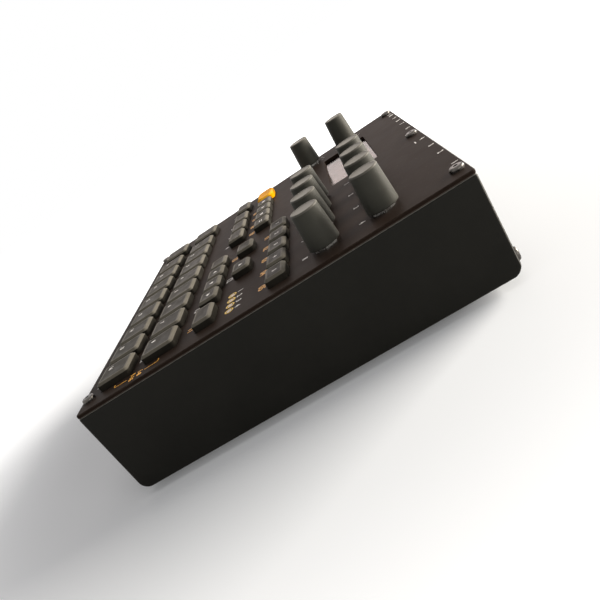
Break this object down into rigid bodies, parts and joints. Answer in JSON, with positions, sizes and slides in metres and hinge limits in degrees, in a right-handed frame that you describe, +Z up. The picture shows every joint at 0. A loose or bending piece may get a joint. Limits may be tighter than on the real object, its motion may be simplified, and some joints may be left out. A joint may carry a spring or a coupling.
{
  "type": "desktop synthesizer",
  "caption": "Desktop groovebox synthesizer in a folded black steel case with a screen, rotary knobs, rubber keys and rear connectors.",
  "frame": {"origin": "centre of the footprint at the bottom of the feet", "axes": "+X to the right of a player facing the panel, +Y to the rear connectors, +Z up out of the panel"},
  "size_m": [0.215, 0.1777, 0.063],
  "materials": {
    "case_paint": "black satin powder coat",
    "panel_paint": "warm black fine-textured paint",
    "foot_rubber": "matt",
    "screw_steel": "black oxide",
    "switch_plastic": "matt",
    "nut_steel": "bright",
    "window_glass": "clear",
    "display_black": "glossy",
    "board_mask": "solder mask",
    "connector_plastic": "matt",
    "rocker_plastic": "semi-gloss",
    "orange_rubber": "satin",
    "key_rubber": "satin",
    "knob_rubber": "matt, soft touch"
  },
  "bodies": {
    "case": {"bottom_case": "case_paint", "case_fasteners": "screw_steel", "circuit_boards": "board_mask", "clear_lenses": "window_glass", "display_module": "display_black", "encoder_housings": "nut_steel", "key_switches": "switch_plastic", "rear_connectors": "connector_plastic", "rubber_feet": "foot_rubber", "top_panel": "panel_paint"},
    "key_bank": {"key_bank": "key_rubber"},
    "key_down": {"key_down": "key_rubber"},
    "key_function": {"key_function": "orange_rubber"},
    "key_left": {"key_left": "key_rubber"},
    "key_mode_1": {"key_mode_1": "key_rubber"},
    "key_mode_2": {"key_mode_2": "key_rubber"},
    "key_mode_3": {"key_mode_3": "key_rubber"},
    "key_mode_4": {"key_mode_4": "key_rubber"},
    "key_no": {"key_no": "key_rubber"},
    "key_page": {"key_page": "key_rubber"},
    "key_parameter_1": {"key_parameter_1": "key_rubber"},
    "key_parameter_2": {"key_parameter_2": "key_rubber"},
    "key_parameter_3": {"key_parameter_3": "key_rubber"},
    "key_parameter_4": {"key_parameter_4": "key_rubber"},
    "key_parameter_5": {"key_parameter_5": "key_rubber"},
    "key_pattern": {"key_pattern": "key_rubber"},
    "key_right": {"key_right": "key_rubber"},
    "key_step_01": {"key_step_01": "key_rubber"},
    "key_step_02": {"key_step_02": "key_rubber"},
    "key_step_03": {"key_step_03": "key_rubber"},
    "key_step_04": {"key_step_04": "key_rubber"},
    "key_step_05": {"key_step_05": "key_rubber"},
    "key_step_06": {"key_step_06": "key_rubber"},
    "key_step_07": {"key_step_07": "key_rubber"},
    "key_step_08": {"key_step_08": "key_rubber"},
    "key_step_09": {"key_step_09": "key_rubber"},
    "key_step_10": {"key_step_10": "key_rubber"},
    "key_step_11": {"key_step_11": "key_rubber"},
    "key_step_12": {"key_step_12": "key_rubber"},
    "key_step_13": {"key_step_13": "key_rubber"},
    "key_step_14": {"key_step_14": "key_rubber"},
    "key_step_15": {"key_step_15": "key_rubber"},
    "key_step_16": {"key_step_16": "key_rubber"},
    "key_transport_1": {"key_transport_1": "key_rubber"},
    "key_transport_2": {"key_transport_2": "key_rubber"},
    "key_transport_3": {"key_transport_3": "key_rubber"},
    "key_transport_4": {"key_transport_4": "key_rubber"},
    "key_up": {"key_up": "key_rubber"},
    "key_yes": {"key_yes": "key_rubber"},
    "knob_data_1": {"knob_data_1": "knob_rubber"},
    "knob_data_2": {"knob_data_2": "knob_rubber"},
    "knob_data_3": {"knob_data_3": "knob_rubber"},
    "knob_data_4": {"knob_data_4": "knob_rubber"},
    "knob_data_5": {"knob_data_5": "knob_rubber"},
    "knob_data_6": {"knob_data_6": "knob_rubber"},
    "knob_data_7": {"knob_data_7": "knob_rubber"},
    "knob_data_8": {"knob_data_8": "knob_rubber"},
    "knob_level": {"knob_level": "knob_rubber"},
    "knob_volume": {"knob_volume": "knob_rubber"},
    "power_rocker": {"power_rocker": "rocker_plastic"}
  },
  "joints": [
    {"name": "press_bank", "type": "slide", "parent": "case", "child": "key_bank", "axis": [0, 0, -1], "range_m": [0, 0.0008], "stiffness_N_per_m": 400},
    {"name": "press_down", "type": "slide", "parent": "case", "child": "key_down", "axis": [0, 0, -1], "range_m": [0, 0.0008], "stiffness_N_per_m": 400},
    {"name": "press_function", "type": "slide", "parent": "case", "child": "key_function", "axis": [0, 0, -1], "range_m": [0, 0.0008], "stiffness_N_per_m": 400},
    {"name": "press_left", "type": "slide", "parent": "case", "child": "key_left", "axis": [0, 0, -1], "range_m": [0, 0.0008], "stiffness_N_per_m": 400},
    {"name": "press_mode_1", "type": "slide", "parent": "case", "child": "key_mode_1", "axis": [0, 0, -1], "range_m": [0, 0.0008], "stiffness_N_per_m": 400},
    {"name": "press_mode_2", "type": "slide", "parent": "case", "child": "key_mode_2", "axis": [0, 0, -1], "range_m": [0, 0.0008], "stiffness_N_per_m": 400},
    {"name": "press_mode_3", "type": "slide", "parent": "case", "child": "key_mode_3", "axis": [0, 0, -1], "range_m": [0, 0.0008], "stiffness_N_per_m": 400},
    {"name": "press_mode_4", "type": "slide", "parent": "case", "child": "key_mode_4", "axis": [0, 0, -1], "range_m": [0, 0.0008], "stiffness_N_per_m": 400},
    {"name": "press_no", "type": "slide", "parent": "case", "child": "key_no", "axis": [0, 0, -1], "range_m": [0, 0.0008], "stiffness_N_per_m": 400},
    {"name": "press_page", "type": "slide", "parent": "case", "child": "key_page", "axis": [0, 0, -1], "range_m": [0, 0.0008], "stiffness_N_per_m": 400},
    {"name": "press_parameter_1", "type": "slide", "parent": "case", "child": "key_parameter_1", "axis": [0, 0, -1], "range_m": [0, 0.0008], "stiffness_N_per_m": 400},
    {"name": "press_parameter_2", "type": "slide", "parent": "case", "child": "key_parameter_2", "axis": [0, 0, -1], "range_m": [0, 0.0008], "stiffness_N_per_m": 400},
    {"name": "press_parameter_3", "type": "slide", "parent": "case", "child": "key_parameter_3", "axis": [0, 0, -1], "range_m": [0, 0.0008], "stiffness_N_per_m": 400},
    {"name": "press_parameter_4", "type": "slide", "parent": "case", "child": "key_parameter_4", "axis": [0, 0, -1], "range_m": [0, 0.0008], "stiffness_N_per_m": 400},
    {"name": "press_parameter_5", "type": "slide", "parent": "case", "child": "key_parameter_5", "axis": [0, 0, -1], "range_m": [0, 0.0008], "stiffness_N_per_m": 400},
    {"name": "press_pattern", "type": "slide", "parent": "case", "child": "key_pattern", "axis": [0, 0, -1], "range_m": [0, 0.0008], "stiffness_N_per_m": 400},
    {"name": "press_right", "type": "slide", "parent": "case", "child": "key_right", "axis": [0, 0, -1], "range_m": [0, 0.0008], "stiffness_N_per_m": 400},
    {"name": "press_step_01", "type": "slide", "parent": "case", "child": "key_step_01", "axis": [0, 0, -1], "range_m": [0, 0.0008], "stiffness_N_per_m": 400},
    {"name": "press_step_02", "type": "slide", "parent": "case", "child": "key_step_02", "axis": [0, 0, -1], "range_m": [0, 0.0008], "stiffness_N_per_m": 400},
    {"name": "press_step_03", "type": "slide", "parent": "case", "child": "key_step_03", "axis": [0, 0, -1], "range_m": [0, 0.0008], "stiffness_N_per_m": 400},
    {"name": "press_step_04", "type": "slide", "parent": "case", "child": "key_step_04", "axis": [0, 0, -1], "range_m": [0, 0.0008], "stiffness_N_per_m": 400},
    {"name": "press_step_05", "type": "slide", "parent": "case", "child": "key_step_05", "axis": [0, 0, -1], "range_m": [0, 0.0008], "stiffness_N_per_m": 400},
    {"name": "press_step_06", "type": "slide", "parent": "case", "child": "key_step_06", "axis": [0, 0, -1], "range_m": [0, 0.0008], "stiffness_N_per_m": 400},
    {"name": "press_step_07", "type": "slide", "parent": "case", "child": "key_step_07", "axis": [0, 0, -1], "range_m": [0, 0.0008], "stiffness_N_per_m": 400},
    {"name": "press_step_08", "type": "slide", "parent": "case", "child": "key_step_08", "axis": [0, 0, -1], "range_m": [0, 0.0008], "stiffness_N_per_m": 400},
    {"name": "press_step_09", "type": "slide", "parent": "case", "child": "key_step_09", "axis": [0, 0, -1], "range_m": [0, 0.0008], "stiffness_N_per_m": 400},
    {"name": "press_step_10", "type": "slide", "parent": "case", "child": "key_step_10", "axis": [0, 0, -1], "range_m": [0, 0.0008], "stiffness_N_per_m": 400},
    {"name": "press_step_11", "type": "slide", "parent": "case", "child": "key_step_11", "axis": [0, 0, -1], "range_m": [0, 0.0008], "stiffness_N_per_m": 400},
    {"name": "press_step_12", "type": "slide", "parent": "case", "child": "key_step_12", "axis": [0, 0, -1], "range_m": [0, 0.0008], "stiffness_N_per_m": 400},
    {"name": "press_step_13", "type": "slide", "parent": "case", "child": "key_step_13", "axis": [0, 0, -1], "range_m": [0, 0.0008], "stiffness_N_per_m": 400},
    {"name": "press_step_14", "type": "slide", "parent": "case", "child": "key_step_14", "axis": [0, 0, -1], "range_m": [0, 0.0008], "stiffness_N_per_m": 400},
    {"name": "press_step_15", "type": "slide", "parent": "case", "child": "key_step_15", "axis": [0, 0, -1], "range_m": [0, 0.0008], "stiffness_N_per_m": 400},
    {"name": "press_step_16", "type": "slide", "parent": "case", "child": "key_step_16", "axis": [0, 0, -1], "range_m": [0, 0.0008], "stiffness_N_per_m": 400},
    {"name": "press_transport_1", "type": "slide", "parent": "case", "child": "key_transport_1", "axis": [0, 0, -1], "range_m": [0, 0.0008], "stiffness_N_per_m": 400},
    {"name": "press_transport_2", "type": "slide", "parent": "case", "child": "key_transport_2", "axis": [0, 0, -1], "range_m": [0, 0.0008], "stiffness_N_per_m": 400},
    {"name": "press_transport_3", "type": "slide", "parent": "case", "child": "key_transport_3", "axis": [0, 0, -1], "range_m": [0, 0.0008], "stiffness_N_per_m": 400},
    {"name": "press_transport_4", "type": "slide", "parent": "case", "child": "key_transport_4", "axis": [0, 0, -1], "range_m": [0, 0.0008], "stiffness_N_per_m": 400},
    {"name": "press_up", "type": "slide", "parent": "case", "child": "key_up", "axis": [0, 0, -1], "range_m": [0, 0.0008], "stiffness_N_per_m": 400},
    {"name": "press_yes", "type": "slide", "parent": "case", "child": "key_yes", "axis": [0, 0, -1], "range_m": [0, 0.0008], "stiffness_N_per_m": 400},
    {"name": "turn_data_1", "type": "hinge", "parent": "case", "child": "knob_data_1", "pos_m": [0.0128, 0.0557, 0.0478], "axis": [0, 0, 1], "continuous": true},
    {"name": "turn_data_2", "type": "hinge", "parent": "case", "child": "knob_data_2", "pos_m": [0.0382, 0.0557, 0.0478], "axis": [0, 0, 1], "continuous": true},
    {"name": "turn_data_3", "type": "hinge", "parent": "case", "child": "knob_data_3", "pos_m": [0.0636, 0.0557, 0.0478], "axis": [0, 0, 1], "continuous": true},
    {"name": "turn_data_4", "type": "hinge", "parent": "case", "child": "knob_data_4", "pos_m": [0.089, 0.0557, 0.0478], "axis": [0, 0, 1], "continuous": true},
    {"name": "turn_data_5", "type": "hinge", "parent": "case", "child": "knob_data_5", "pos_m": [0.0128, 0.0303, 0.0478], "axis": [0, 0, 1], "continuous": true},
    {"name": "turn_data_6", "type": "hinge", "parent": "case", "child": "knob_data_6", "pos_m": [0.0382, 0.0303, 0.0478], "axis": [0, 0, 1], "continuous": true},
    {"name": "turn_data_7", "type": "hinge", "parent": "case", "child": "knob_data_7", "pos_m": [0.0636, 0.0303, 0.0478], "axis": [0, 0, 1], "continuous": true},
    {"name": "turn_data_8", "type": "hinge", "parent": "case", "child": "knob_data_8", "pos_m": [0.089, 0.0303, 0.0478], "axis": [0, 0, 1], "continuous": true},
    {"name": "turn_level", "type": "hinge", "parent": "case", "child": "knob_level", "pos_m": [-0.093, 0.0303, 0.0478], "axis": [0, 0, 1], "continuous": true},
    {"name": "turn_volume", "type": "hinge", "parent": "case", "child": "knob_volume", "pos_m": [-0.093, 0.0557, 0.0478], "axis": [0, 0, 1], "range_deg": [-150, 150]},
    {"name": "power_rock", "type": "hinge", "parent": "case", "child": "power_rocker", "pos_m": [0.086, 0.0866, 0.0238], "axis": [-1, 0, 0], "range_deg": [0, 14]}
  ]
}
